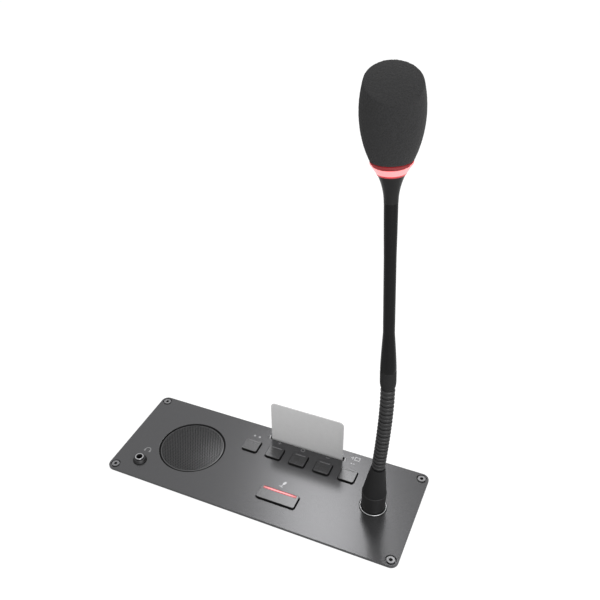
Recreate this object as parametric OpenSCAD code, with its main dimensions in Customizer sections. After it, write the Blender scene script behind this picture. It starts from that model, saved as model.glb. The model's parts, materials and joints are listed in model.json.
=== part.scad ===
// Conference delegate unit: a flush table panel with a plug-in gooseneck microphone,
// a loudspeaker, five vote keys, a microphone key, a card reader and a headphone jack.
// Millimetres. Origin: centre of the panel's underside, which lies on the table top.
// +X to the user's right, +Y away from the user, +Z up.

/* [Top plate] */
// Length of the plate, left to right
plate_l = 210; // [208:1:260]
// Depth of the plate, front to back
plate_d = 80; // [78:1:110]
// Thickness of the plate
plate_t = 2; // [1.8:0.1:3]
// Corner radius of the plate
plate_r = 5; // [3:0.5:8]
// Depth of the pocket under the plate that the housing seats in
pocket_h = 0.5; // [0.3:0.1:0.8]
// Distance of each table screw from the plate's edges
screw_inset = 4.75; // [4.5:0.25:6]
// Radius of the table screws' thread
screw_r = 1.5; // [1.2:0.1:1.9]
// Length of the table screws below the plate
screw_l = 16; // [10:1:30]
// Radius of the table screws' heads
screw_head_r = 2.65; // [2.4:0.05:3]
// Radius of the studs welded under the plate
stud_r = 1.25; // [1:0.05:1.5]

/* [Loudspeaker] */
// Distance of the loudspeaker's centre from the plate's left edge
speaker_edge = 47; // [45:0.5:49]
// Radius of the opening for the grille
speaker_hole_r = 23.9; // [20:0.1:24.5]
// Gap between the grille and the edge of its opening
grille_gap = 0.7; // [0.3:0.1:1]
// Sheet thickness of the grille
grille_t = 0.8; // [0.6:0.1:1.2]
// Rise of the grille's dome over its rim
grille_dome = 1.4; // [0.8:0.1:2.4]
// Distance between the rings of grille holes
grille_pitch = 4.6; // [4:0.1:5]
// Thickness of the foam gasket behind the grille
gasket_t = 1.5; // [1:0.1:3]
// Depth of the loudspeaker's basket
basket_h = 14; // [12:0.5:20]
// Radius of the magnet
magnet_r = 16; // [14:0.5:22]
// Height of the magnet
magnet_h = 9; // [6:0.5:14]

/* [Keys] */
// Distance of the key row's centre to the right of the plate's centre
key_x = 17.4; // [16:0.2:18.4]
// Distance from the card down to the middle of the vote keys
key_drop = 13.7; // [13:0.1:15]
// Pitch of the vote keys
key_pitch = 18.15; // [18:0.05:18.6]
// Width of a vote key
key_w = 11; // [9:0.1:11.2]
// Depth of every key, front to back
key_d = 10.7; // [8:0.1:11]
// Corner radius of the keys
key_r = 1.3; // [0.6:0.1:2]
// Rise of the keys over the plate
key_rise = 1.4; // [1:0.1:2]
// Travel of a key
key_travel = 1; // [0.6:0.1:1.4]
// Width of the microphone key
mic_key_w = 27.2; // [25:0.1:30]
// Distance of the microphone key's middle from the plate's front edge
mic_key_edge = 21.8; // [20:0.1:24]
// Length of the microphone key's light bar
light_bar_l = 23.8; // [14:0.1:24]
// Width of the light bars, front to back
light_bar_w = 1.4; // [1:0.1:2]

/* [Card reader] */
// Width of the identity card
card_w = 54; // [40:0.5:54]
// Height of the identity card
card_h = 85.6; // [70:0.1:90]
// Thickness of the identity card
card_t = 0.76; // [0.6:0.02:1]
// Room between the card reader and the housing's floor
reader_room = 3.8; // [2:0.1:8]
// Distance of the card to the right of the plate's centre
card_x = 18; // [17:0.1:19]
// Distance of the card from the plate's back edge
card_edge = 8.5; // [8:0.1:10]
// Thickness of the reader's body
reader_t = 5.2; // [4.6:0.1:6]
// Width of the plate's slot, front to back
slot_w = 3.4; // [2.4:0.1:4]

/* [Headphone jack] */
// Distance of the jack from the plate's left edge
jack_edge_x = 18.8; // [18:0.1:19.5]
// Distance of the jack from the plate's front edge
jack_edge_y = 14.5; // [13.5:0.1:15]
// Radius of the jack's bore
jack_bore_r = 1.8; // [1.3:0.05:2]
// Rise of the jack's rim over the plate
jack_rise = 3.4; // [2.5:0.1:5]
// Radius of the jack's dress nut
jack_nut_r = 4.9; // [4.2:0.1:6]

/* [Microphone socket] */
// Distance of the socket from the plate's right edge
socket_edge = 27.5; // [26:0.5:29]
// Outer radius of the chrome ring
ring_r = 9.2; // [9.1:0.1:11]
// Rise of the chrome ring over the plate
ring_rise = 0.9; // [0.5:0.1:2]
// Radius of the lock collar where it enters the socket
collar_r = 7.6; // [7:0.1:8]
// Radius of the lock collar's wider top
collar_top_r = 7.95; // [7.8:0.05:8.6]
// Height of the lock collar over the plate
collar_rise = 14.6; // [10:0.1:20]
// Gap between the collar and the chrome ring
collar_gap = 0.5; // [0.3:0.1:0.8]
// Depth of the socket below the plate's underside
socket_h = 17; // [15:0.5:24]

/* [Gooseneck] */
// Height of the first neck joint over the plate
neck_rise = 37.4; // [33:0.2:46]
// Sideways lean of the boot as it stands
boot_lean = 2.85; // [0:0.05:5]
// Distance between neck joints
link_l = 5.8; // [5.5:0.1:8]
// Outer radius of the neck's ribs
neck_r = 4.1; // [3.6:0.05:4.4]
// Gap between neighbouring links
link_gap = 0.9; // [0.9:0.05:1.2]
// Radius of the ball on each link
ball_r = 2.5; // [2.2:0.05:2.6]
// Radius of the wire channel
wire_r = 1; // [0.6:0.1:1.3]
// Lean of the neck towards the user as it stands
lean_nod = -3; // [-6:0.5:6]
// Sideways set of the lowest sway joint
sway_first = -0.2; // [-1:0.1:1]
// Sideways set of the highest sway joint
sway_last = -2.2; // [-2.8:0.1:0]

/* [Stem and head] */
// Radius of the stem tube
tube_r = 3.06; // [2.6:0.02:3.3]
// Wall of the stem tube
tube_wall = 0.7; // [0.5:0.05:1]
// Length of the ferrule at the neck's end
ferrule_l = 11.5; // [7:0.25:14]
// Radius of the ferrule
ferrule_r = 4.65; // [4.2:0.05:5]
// Length of the tapered sleeve above the ferrule
sleeve_l = 24.4; // [18:0.2:40]
// Height of the head's flare over the topmost neck joint
head_rise = 111; // [90:0.5:160]
// Height of the flare
flare_h = 14.2; // [10:0.2:18]
// Radius of the flare where it meets the light ring
flare_r = 6.4; // [5.8:0.1:7]
// Height of the light ring
light_h = 6.6; // [4:0.2:8]
// Outer radius of the windscreen's lower rim
foam_low_r = 10.3; // [9:0.1:12]
// Largest radius of the windscreen
foam_max_r = 15.2; // [14:0.1:17]
// Height of the windscreen's widest place over its lower rim
foam_max_z = 22.4; // [18:0.2:28]
// Height of the middle of the windscreen's slanted crown over its lower rim
crown_z = 37.8; // [34:0.2:42]
// Slant of the crown towards the talker
crown_tilt = 25.5; // [0:0.5:30]
// Turn of the slant towards the right
crown_turn = 25; // [-60:5:60]
// Radius of the crown's flat dome
crown_r = 80; // [60:5:200]
// Radius of the microphone capsule
capsule_r = 5.5; // [5:0.1:6.5]
// Height of the microphone capsule
capsule_h = 9; // [6:0.5:12]

/* [Housing] */
// Width of the plate's rim beside the housing, left and right
rim_side = 10; // [9.5:0.1:12]
// Width of the plate's rim before and behind the housing
rim_front = 3.5; // [3:0.1:3.8]
// Corner radius of the housing
housing_r = 4; // [3:0.5:6]
// Wall of the housing
wall = 2; // [1.5:0.1:2.2]
// Depth of the housing below the table top
housing_h = 58; // [56:1:80]
// Length of the spacers that carry the main board
spacer_l = 9.5; // [9:0.1:12]
// Thickness of the circuit boards
board_t = 1.6; // [1:0.1:2]
// Distance of the network sockets to the right of the plate's centre
io_x = 45; // [40:0.5:48]
// Distance between the two network sockets
io_pitch = 26; // [22:0.5:30]
// Height of a network socket's body
port_h = 18.2; // [17:0.2:20]

/* [Clearances] */
// Room all round the housing in the plate's pocket
housing_gap = 0.3; // [0.1:0.05:0.5]
// Room round the keys in their windows
key_gap = 0.5; // [0.1:0.05:0.6]
// Room between sliding or turning parts
slide_gap = 0.2; // [0.1:0.05:0.3]
// Room round fixed pins, studs and screws
fix_gap = 0.05; // [0.02:0.01:0.1]
// Room between a ball and its socket in the neck
ball_gap = 0.15; // [0.1:0.01:0.2]

/* [Hidden] */
$fn = 96;
// Facets of large arcs, which need a fine step
arc_fn = 1080;
// Overshoot of cutting shapes
cut = 1;
// Places of the main features on the plate
seat_z = pocket_h;
floor_z = wall - housing_h;
housing_l = plate_l - 2 * rim_side;
housing_d = plate_d - 2 * rim_front;
screw_x = plate_l / 2 - screw_inset;
screw_y = plate_d / 2 - screw_inset;
speaker_x = speaker_edge - plate_l / 2;
jack_x = jack_edge_x - plate_l / 2;
jack_y = jack_edge_y - plate_d / 2;
card_y = plate_d / 2 - card_edge;
key_y = card_y - key_drop;
mic_key_y = mic_key_edge - plate_d / 2;
socket_x = plate_l / 2 - socket_edge;

// Table screws: recessed heads with a hexagon socket
head_recess = 1.2;
head_h = 1.4;
head_room = 1.05;
hex_r = 1.2;
hex_h = 0.9;
neck_extra = 0.3;
screw_hole_gap = 0.25;

// Loudspeaker stack, from the plate downwards
grille_r = speaker_hole_r - grille_gap;
grille_flange_r = speaker_hole_r + 2.5;
grille_lip = 3;
grille_hole_r = 1.2;
grille_rings = 4;
grille_rim_z = plate_t - 0.2;
gasket_z = seat_z - grille_t;
basket_z = gasket_z - gasket_t;
basket_t = 1.5;
basket_wall = 1.2;
speaker_stud_r = grille_flange_r + 2.6;
basket_flange_r = speaker_stud_r + 2.5;
rim_ledge = 0.6;
rim_out_r = grille_r - 0.8;
rim_in_r = rim_out_r - 2.9;
cone_low_r = 6.5;
cone_h = 8;
coil_r = 6;
coil_t = 0.4;
coil_room = 0.4;
coil_h = basket_h + 2;
basket_low_r = magnet_r - 2;
magnet_z = basket_z - basket_h;
nut_h = 2.2;
nut_r = 2.9;
stud_spare = 0.6;

// Keys and their switches
key_hold = 0.6;
key_flange = key_gap + key_hold;
key_flange_t = 1;
stem_r = 2;
switch_w = 6.5;
switch_h = 4;
switch_floor = 0.6;
stem_rest = 0.3;
bar_inset = 1.4;
bar_short = 3;
groove_h = 0.3;
light_bar_h = 1.2;
mic_stem_x = 8;
vote_keys = 5;
board_top = seat_z - spacer_l;
stem_z = board_top + switch_floor + key_travel + stem_rest;
switch_xy = concat(
    [for (i = [0 : vote_keys - 1]) [key_x + (i - 2) * key_pitch, key_y]],
    [for (s = [-1, 1]) [key_x + s * mic_stem_x, mic_key_y]]);

// Main board and what carries it
board_margin = 6.5;
board_l = (vote_keys - 1) * key_pitch + 2 * board_margin;
board_lip = 12;
board_front = mic_key_y - board_lip;
reader_front = card_y - reader_t / 2;
board_back = reader_front - 0.7;
spacer_r = 2.5;
post_stud = 4;
board_screw_l = 3.5;
small_head_r = 2.2;
small_head_h = 1.5;
spacer_xy = [
    [key_x - 1.5 * key_pitch, board_back - spacer_r - 0.4],
    [key_x + 1.5 * key_pitch, board_back - spacer_r - 0.4],
    [key_x - 2 * key_pitch, board_front + spacer_r + 1],
    [key_x + 2 * key_pitch, board_front + spacer_r + 1]];

// Card and reader
card_side = 0.5;
card_corner = 3.2;
reader_wall = 3.5;
reader_l = card_w + 2 * (card_side + reader_wall);
reader_floor = 2;
reader_z = floor_z + reader_room;
card_z = reader_z + reader_floor + slide_gap;
ear_l = 8;
ear_t = 2.5;
ear_stud_x = reader_l / 2 + ear_l / 2;
slot_l = card_w + 5;
slot_r = 0.8;
contact = [1.6, 1.2, 2.4];
contact_pitch = 2.6;
contact_rise = 30;

// Headphone jack
bushing_r = jack_bore_r + 1.2;
jack_depth = 12;
jack_floor = 1;
jack_box = 10;
jack_nut_h = 2.4;
jack_nut_top = 0.8;

// Microphone socket and plug
socket_in_r = collar_r + collar_gap;
socket_wall = 0.6;
socket_out_r = socket_in_r + socket_wall;
socket_floor = 1.5;
socket_z = seat_z - socket_h;
socket_nut_h = 3;
socket_nut_r = socket_out_r + 3;
tail_hole_r = 3.2;
insert_z = socket_z + socket_floor;
insert_h = 10.5;
insert_top = insert_z + insert_h;
collar_wall = 2;
collar_in_r = collar_r - collar_wall;
core_r = collar_in_r - slide_gap;
insert_r = core_r - 0.2;
collar_top = plate_t + collar_rise;
collar_low = insert_z + 3.5;
core_z = insert_top + slide_gap;
pin_r = 0.6;
pin_room = 0.15;
pin_circle = 2.2;
pin_l = 7.5;
pins = 4;
tail_r = 0.5;
tail_l = 7;

// Neck: joints turn in turn about X, a nod, and about Y, a sway
links = 11;
joints = links + 1;
nods = 6;
neck_z = plate_t + neck_rise;
boot_z = collar_top + slide_gap;
boot_step = 0.65;
boot_low_r = collar_top_r - boot_step;
boot_top_r = neck_r + 0.45;
boot_top = neck_z - link_gap / 2;
spigot_r = 3.4;
spigot_top = neck_z - 6;
stalk_r = 1.9;
groove_w = 0.9;
groove_d = 0.6;
cup_r = ball_r + ball_gap;
function nod_rest(k) = k % 2 == 0 ? lean_nod / nods : 0;
function sway_rest(k) = k % 2 == 1 ? sway_first + (sway_last - sway_first) * (k - 1) / (2 * nods - 2) : 0;

// Stem and head, measured up the stem from the topmost neck joint
ferrule_z = link_gap / 2;
sleeve_z = ferrule_z + ferrule_l;
sleeve_top = sleeve_z + sleeve_l;
sleeve_top_r = tube_r + 0.1;
sleeve_steps = 8;
tube_seat = 1.5;
tube_z = cup_r + tube_seat;
flare_low_r = tube_r + 0.3;
flare_grip = 7;
tube_top = head_rise + flare_grip;
light_z = head_rise + flare_h;
foam_z = light_z + light_h + slide_gap;
post_r = capsule_r - 0.5;
post_rise = 3.5;
post_top = light_z + light_h + post_rise;
foam_bore_r = capsule_r + 0.3;
foam_bore_room = 1.5;
foam_bore_top = post_top + capsule_h + foam_bore_room;
foam_stock_h = crown_z + foam_max_r * tan(crown_tilt);

// Housing, its pillars and the network board
pillar_r = 3;
pillar_inset = 7;
pillar_shift = 22;
pillar_x = housing_l / 2 - pillar_inset;
pillar_y = housing_d / 2 - pillar_inset;
pillar_xy = [
    [-pillar_x, pillar_y],
    [pillar_x, pillar_y],
    [pillar_x, -pillar_y],
    [speaker_x + pillar_shift, -pillar_y]];
housing_screw_l = 8;
housing_hole_r = stud_r + 0.3;
io_y = -8;
io_margin = 17;
io_l = io_pitch + 2 * io_margin;
io_d = 26;
port = [16, 13.5];
port_room = 0.2;
plug_hole = [12, 8.3];
plug_depth = 14;
port_proud = 0.2;
io_z = port_h - housing_h - port_proud;
boss_r = 2.8;
boss_inset = 3;
io_screw_r = 1;
io_screw_l = 6;
io_screw_xy = [for (sx = [-1, 1], sy = [-1, 1])
    [io_x + sx * (io_l / 2 - boss_inset), io_y + sy * (io_d / 2 - boss_inset)]];

// Rectangle with round corners
module rounded(l, d, r) {
    square([l - 2 * r, d], center = true);
    square([l, d - 2 * r], center = true);
    for (x = [-1, 1], y = [-1, 1])
        translate([x * (l / 2 - r), y * (d / 2 - r)])
            circle(r);
}

// Upright block with round corners between two heights
module slab(l, d, r, low, high) {
    translate([0, 0, low])
        linear_extrude(high - low)
            rounded(l, d, r);
}

// Upright rod between two heights
module rod(r, low, high) {
    translate([0, 0, low])
        cylinder(r = r, h = high - low);
}

// Upright tube between two heights
module tube(r_out, r_in, low, high) {
    difference() {
        rod(r_out, low, high);
        rod(r_in, low - cut, high + cut);
    }
}

// Hexagon nut with its bore
module nut(r, bore, low, high) {
    difference() {
        translate([0, 0, low])
            cylinder(r = r, h = high - low, $fn = 6);
        rod(bore, low - cut, high + cut);
    }
}

module at_table_screws() {
    for (x = [-1, 1], y = [-1, 1])
        translate([x * screw_x, y * screw_y, 0])
            children();
}

module at_speaker() {
    translate([speaker_x, 0, 0])
        children();
}

module at_speaker_studs() {
    for (a = [45 : 90 : 315])
        rotate([0, 0, a])
            translate([speaker_stud_r, 0, 0])
                children();
}

module at_card() {
    translate([card_x, card_y, 0])
        children();
}

module at_reader_studs() {
    for (s = [-1, 1])
        translate([s * ear_stud_x, 0, 0])
            children();
}

module at_vote_key(i) {
    translate([key_x + (i - 2) * key_pitch, key_y, 0])
        children();
}

module at_mic_key() {
    translate([key_x, mic_key_y, 0])
        children();
}

module at_jack() {
    translate([jack_x, jack_y, 0])
        children();
}

module at_socket() {
    translate([socket_x, 0, 0])
        children();
}

// Frame of the boot, which leans from the middle of the collar's top
module at_boot() {
    translate([socket_x, 0, collar_top])
        rotate([0, boot_lean, 0])
            translate([0, 0, -collar_top])
                children();
}

module at_each(points) {
    for (p = points)
        translate([p[0], p[1], 0])
            children();
}

module at_pins() {
    for (a = [45 : 360 / pins : 359])
        rotate([0, 0, a])
            translate([pin_circle, 0, 0])
                children();
}

// Frame of neck joint k, with the bends of the standing pose
module at_joint(k) {
    if (k == 0)
        at_boot()
            translate([0, 0, neck_z])
                rotate([nod_rest(0), 0, 0])
                    children();
    else
        at_joint(k - 1)
            translate([0, 0, link_l])
                rotate([nod_rest(k), sway_rest(k), 0])
                    children();
}

module at_stem() {
    at_joint(joints - 1)
        children();
}

// Stud under the plate that reaches a length below its underside
module stud(length) {
    rod(stud_r, seat_z - length, seat_z + pocket_h);
}

module top_plate() {
    color([0.33, 0.33, 0.34]) {
        difference() {
            slab(plate_l, plate_d, plate_r, 0, plate_t);
            slab(housing_l + 2 * housing_gap, housing_d + 2 * housing_gap,
                housing_r + housing_gap, -cut, seat_z);
            at_table_screws() {
                rod(screw_r + neck_extra + screw_hole_gap, -cut, plate_t + cut);
                rod(screw_head_r + head_room, plate_t - head_recess, plate_t + cut);
            }
            at_speaker()
                rod(speaker_hole_r, -cut, plate_t + cut);
            for (i = [0 : vote_keys - 1])
                at_vote_key(i)
                    slab(key_w + 2 * key_gap, key_d + 2 * key_gap, key_r + key_gap, -cut, plate_t + cut);
            at_mic_key()
                slab(mic_key_w + 2 * key_gap, key_d + 2 * key_gap, key_r + key_gap, -cut, plate_t + cut);
            at_card()
                slab(slot_l, slot_w, slot_r, -cut, plate_t + cut);
            at_jack()
                rod(bushing_r + slide_gap, -cut, plate_t + cut);
            at_socket()
                rod(socket_out_r + fix_gap, -cut, plate_t + cut);
        }
        at_speaker()
            at_speaker_studs()
                stud(grille_t + gasket_t + basket_t + nut_h + stud_spare);
        at_card()
            at_reader_studs()
                stud(ear_t + nut_h + stud_spare);
        at_each(spacer_xy)
            stud(post_stud);
        at_each(pillar_xy)
            stud(post_stud);
    }
}

module plate_screws() {
    color([0.75, 0.75, 0.76])
        at_table_screws()
            difference() {
                union() {
                    rod(screw_head_r, plate_t - head_recess, plate_t - head_recess + head_h);
                    rod(screw_r + neck_extra, 0, plate_t - head_recess);
                    rod(screw_r, -screw_l, 0);
                }
                translate([0, 0, plate_t - head_recess + head_h - hex_h])
                    cylinder(r = hex_r, h = hex_h + cut, $fn = 6);
            }
}

// Solid under a shallow dome: a round wall up to the rim, and a spherical crown
module domed_plug(r, low, rim, dome) {
    arc = (r * r + dome * dome) / (2 * dome);
    rotate_extrude()
        union() {
            translate([0, low])
                square([r, rim - low]);
            intersection() {
                translate([0, rim + dome - arc])
                    circle(arc, $fn = arc_fn);
                translate([0, rim])
                    square([r, 2 * dome]);
            }
        }
}

module speaker_grille() {
    color([0.2, 0.2, 0.21])
        at_speaker()
            difference() {
                union() {
                    domed_plug(grille_r, gasket_z, grille_rim_z, grille_dome);
                    rod(grille_flange_r, gasket_z, seat_z);
                }
                domed_plug(grille_r - grille_t, gasket_z - cut, grille_rim_z - grille_t, grille_dome);
                for (ring = [1 : grille_rings], i = [0 : 6 * ring - 1])
                    rotate([0, 0, i * 60 / ring])
                        translate([ring * grille_pitch, 0, 0])
                            rod(grille_hole_r, seat_z, plate_t + 2 * grille_dome);
                rod(grille_hole_r, seat_z, plate_t + 2 * grille_dome);
            }
}

module speaker_gasket() {
    color([0.1, 0.1, 0.1])
        at_speaker()
            tube(grille_flange_r, grille_r - grille_lip, basket_z, gasket_z);
}

module speaker_basket() {
    low = basket_z - basket_h;
    color([0.25, 0.25, 0.26])
        at_speaker()
            difference() {
                union() {
                    rod(basket_flange_r, basket_z - basket_t, basket_z);
                    rotate_extrude()
                        polygon([[rim_in_r, basket_z - basket_t],
                            [rim_in_r + basket_wall, basket_z - basket_t],
                            [basket_low_r, low],
                            [coil_r + 2, low],
                            [coil_r + 2, low + basket_wall],
                            [basket_low_r - basket_wall, low + basket_wall]]);
                }
                rod(rim_in_r, basket_z - basket_t, basket_z + cut);
                rod(rim_out_r + fix_gap, basket_z - rim_ledge, basket_z + cut);
                at_speaker_studs()
                    rod(stud_r + slide_gap, basket_z - basket_t - cut, basket_z + cut);
            }
}

module speaker_cone() {
    low = basket_z - rim_ledge - cone_h;
    color([0.12, 0.12, 0.12])
        at_speaker() {
            rotate_extrude()
                polygon([[rim_out_r, basket_z], [rim_out_r, basket_z - rim_ledge],
                    [rim_in_r - 1, basket_z - rim_ledge], [cone_low_r, low], [0, low], [0, low + rim_ledge],
                    [cone_low_r - rim_ledge, low + rim_ledge], [rim_in_r - 2, basket_z]]);
            tube(coil_r, coil_r - coil_t, basket_z - coil_h, low + rim_ledge / 2);
        }
}

module speaker_magnet() {
    color([0.2, 0.2, 0.2])
        at_speaker()
            difference() {
                rod(magnet_r, magnet_z - magnet_h, magnet_z);
                tube(coil_r + coil_room, coil_r - coil_t - coil_room,
                    magnet_z - magnet_h / 2, magnet_z + cut);
            }
}

module stud_nuts() {
    color([0.7, 0.7, 0.7]) {
        at_speaker()
            at_speaker_studs()
                nut(nut_r, stud_r + fix_gap, basket_z - basket_t - nut_h, basket_z - basket_t);
        at_card()
            at_reader_studs()
                nut(nut_r, stud_r + fix_gap, seat_z - ear_t - nut_h, seat_z - ear_t);
    }
}

module jack_nut() {
    color([0.12, 0.12, 0.12])
        at_jack()
            difference() {
                translate([0, 0, plate_t])
                    cylinder(r1 = jack_nut_r, r2 = jack_nut_r - jack_nut_top, h = jack_nut_h);
                rod(bushing_r + fix_gap, plate_t - cut, plate_t + jack_nut_h + cut);
            }
}

module jack_bushing() {
    low = seat_z - jack_depth;
    color([0.8, 0.8, 0.8])
        at_jack()
            difference() {
                rod(bushing_r, low - jack_floor, plate_t + jack_rise);
                rod(jack_bore_r, low, plate_t + jack_rise + cut);
            }
}

module jack_body() {
    low = seat_z - jack_depth - jack_floor;
    color([0.1, 0.1, 0.1])
        at_jack()
            difference() {
                slab(jack_box, jack_box, 1, low, seat_z);
                rod(bushing_r + fix_gap, low - cut, seat_z + cut);
            }
}

module at_contacts() {
    for (i = [-1.5 : 1.5], row = [0, 1])
        translate([i * contact_pitch, card_t / 2 + slide_gap / 2,
            card_z + contact_rise + row * 2 * contact_pitch])
            children();
}

module contact_block() {
    translate([-contact[0] / 2, 0, 0])
        cube(contact);
}

module card_reader() {
    color([0.09, 0.09, 0.1])
        at_card()
            difference() {
                union() {
                    slab(reader_l, reader_t, 0.5, reader_z, seat_z);
                    slab(reader_l + 2 * ear_l, reader_t, 0.5, seat_z - ear_t, seat_z);
                }
                translate([-card_w / 2 - card_side, -card_t / 2 - slide_gap, card_z - slide_gap])
                    cube([card_w + 2 * card_side, card_t + 2 * slide_gap, card_h]);
                at_reader_studs()
                    rod(stud_r + slide_gap, seat_z - ear_t - cut, seat_z + cut);
                at_contacts()
                    contact_block();
            }
}

module reader_contacts() {
    color([0.8, 0.65, 0.3])
        at_card()
            at_contacts()
                contact_block();
}

module id_card() {
    color([0.72, 0.72, 0.73])
        at_card()
            translate([0, card_t / 2, card_z + card_h / 2])
                rotate([90, 0, 0])
                    linear_extrude(card_t)
                        rounded(card_w, card_h, card_corner);
}

module main_board() {
    low = board_top - board_t;
    color([0.1, 0.35, 0.2])
        difference() {
            translate([key_x - board_l / 2, board_front, low])
                cube([board_l, board_back - board_front, board_t]);
            at_each(spacer_xy)
                rod(stud_r + slide_gap, low - cut, board_top + cut);
        }
}

module board_spacers() {
    color([0.75, 0.7, 0.5])
        at_each(spacer_xy)
            tube(spacer_r, stud_r + fix_gap, board_top, seat_z);
}

module board_screws() {
    low = board_top - board_t;
    color([0.7, 0.7, 0.7])
        at_each(spacer_xy) {
            rod(small_head_r, low - small_head_h, low);
            rod(stud_r, low, low + board_t + board_screw_l);
        }
}

module switch_bodies() {
    color([0.15, 0.15, 0.16])
        at_each(switch_xy)
            difference() {
                slab(switch_w, switch_w, 0.5, board_top, board_top + switch_h);
                rod(stem_r + slide_gap, board_top + switch_floor, board_top + switch_h + cut);
            }
}

// Key cap with the flange that holds it under the plate
module key_cap(w) {
    slab(w, key_d, key_r, seat_z - key_flange_t, plate_t + key_rise);
    slab(w + 2 * key_flange, key_d + 2 * key_flange, key_r, seat_z - key_flange_t, seat_z);
}

module vote_key(i) {
    color([0.36, 0.36, 0.37])
        at_vote_key(i) {
            difference() {
                key_cap(key_w);
                translate([0, key_d / 2 - bar_inset, 0])
                    slab(key_w - bar_short, light_bar_w / 2, 0.1,
                        plate_t + key_rise - groove_h, plate_t + key_rise + cut);
            }
            rod(stem_r, stem_z, seat_z);
        }
}

module at_mic_bar() {
    at_mic_key()
        translate([0, key_d / 2 - bar_inset, 0])
            children();
}

module mic_key() {
    top = plate_t + key_rise;
    color([0.36, 0.36, 0.37]) {
        difference() {
            at_mic_key()
                key_cap(mic_key_w);
            at_mic_bar()
                slab(light_bar_l + 2 * fix_gap, light_bar_w + 2 * fix_gap, 0.3,
                    top - light_bar_h, top + cut);
        }
        at_mic_key()
            for (s = [-1, 1])
                translate([s * mic_stem_x, 0, 0])
                    rod(stem_r, stem_z, seat_z);
    }
}

module mic_key_light() {
    top = plate_t + key_rise;
    color([0.95, 0.3, 0.3])
        at_mic_bar()
            slab(light_bar_l, light_bar_w, 0.3, top - light_bar_h, top);
}

module socket_ring() {
    color([0.85, 0.85, 0.86])
        at_socket()
            difference() {
                union() {
                    rod(socket_out_r, socket_z, plate_t + ring_rise);
                    rod(ring_r, plate_t, plate_t + ring_rise);
                }
                rod(socket_in_r, insert_z, plate_t + ring_rise + cut);
                rod(tail_hole_r, socket_z - cut, insert_z + cut);
            }
}

module socket_nut() {
    color([0.7, 0.7, 0.7])
        at_socket()
            nut(socket_nut_r, socket_out_r + fix_gap, seat_z - socket_nut_h, seat_z);
}

module socket_insert() {
    color([0.08, 0.08, 0.08])
        at_socket()
            difference() {
                rod(insert_r, insert_z, insert_top);
                at_pins() {
                    rod(pin_r + pin_room, insert_top - pin_l - slide_gap, insert_top + cut);
                    rod(tail_r + fix_gap, insert_z - cut, insert_top - pin_l);
                }
            }
}

module socket_contacts() {
    top = insert_top - pin_l - 2 * slide_gap;
    color([0.8, 0.65, 0.3])
        at_socket()
            at_pins()
                rod(tail_r, top - tail_l, top);
}

module plug_core() {
    color([0.12, 0.12, 0.12])
        difference() {
            union() {
                at_socket()
                    rod(core_r, core_z, boot_z);
                at_boot() {
                    rod(spigot_r, core_z, spigot_top);
                    rod(stalk_r, core_z, neck_z);
                    translate([0, 0, neck_z])
                        sphere(ball_r);
                }
            }
            at_boot()
                rod(wire_r, collar_top, neck_z + ball_r + cut);
            at_socket()
                at_pins()
                    rod(pin_r, core_z - cut, core_z + 2 * pin_r);
        }
}

module plug_pins() {
    color([0.8, 0.65, 0.3])
        at_socket()
            at_pins()
                rod(pin_r, core_z - pin_l + slide_gap, core_z + 2 * pin_r);
}

module lock_collar() {
    taper_z = plate_t + ring_rise;
    color([0.14, 0.14, 0.14])
        at_socket()
            difference() {
                union() {
                    rod(collar_r, collar_low, taper_z);
                    translate([0, 0, taper_z])
                        cylinder(r1 = collar_r, r2 = collar_top_r, h = collar_top - taper_z);
                }
                rod(collar_in_r, collar_low - cut, collar_top + cut);
            }
}

// A leaning cone, cut level where it stands over the collar
module neck_boot() {
    color([0.13, 0.13, 0.13])
        difference() {
            at_boot() {
                rod(boot_low_r, boot_z - cut, boot_z);
                translate([0, 0, boot_z])
                    cylinder(r1 = boot_low_r, r2 = boot_top_r, h = boot_top - boot_z);
            }
            at_socket()
                rod(2 * boot_low_r, boot_z - 3 * cut, boot_z);
            at_boot() {
                rod(spigot_r + fix_gap, boot_z - 2 * cut, spigot_top + fix_gap);
                rod(stalk_r + fix_gap, boot_z, boot_top + cut);
                translate([0, 0, neck_z])
                    sphere(ball_r + fix_gap);
            }
        }
}

// One ribbed link: a cup below for the ball of the link beneath, its own ball above
module neck_link(k) {
    color([0.15, 0.15, 0.15])
        at_joint(k)
            difference() {
                union() {
                    rod(neck_r, link_gap / 2, link_l - link_gap / 2);
                    translate([0, 0, link_l])
                        sphere(ball_r);
                }
                sphere(cup_r);
                tube(neck_r + cut, neck_r - groove_d, (link_l - groove_w) / 2, (link_l + groove_w) / 2);
                rod(wire_r, 0, link_l + ball_r + cut);
            }
}

module stem_ferrule() {
    color([0.14, 0.14, 0.14])
        at_stem()
            difference() {
                rod(ferrule_r, ferrule_z, sleeve_z);
                sphere(cup_r);
                rod(wire_r, 0, tube_z + cut);
                rod(tube_r + fix_gap, tube_z, sleeve_z + cut);
            }
}

module stem_sleeve() {
    drop = ferrule_r - sleeve_top_r;
    color([0.13, 0.13, 0.13])
        at_stem()
            difference() {
                rotate_extrude()
                    polygon(concat([[0, sleeve_top], [0, sleeve_z]],
                        [for (i = [0 : 1 / sleeve_steps : 1])
                            [ferrule_r - drop * pow(i, 1.5), sleeve_z + sleeve_l * i]]));
                rod(tube_r + fix_gap, sleeve_z - cut, sleeve_top + cut);
            }
}

module stem_tube() {
    color([0.13, 0.13, 0.13])
        at_stem()
            tube(tube_r, tube_r - tube_wall, tube_z, tube_top);
}

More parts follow.
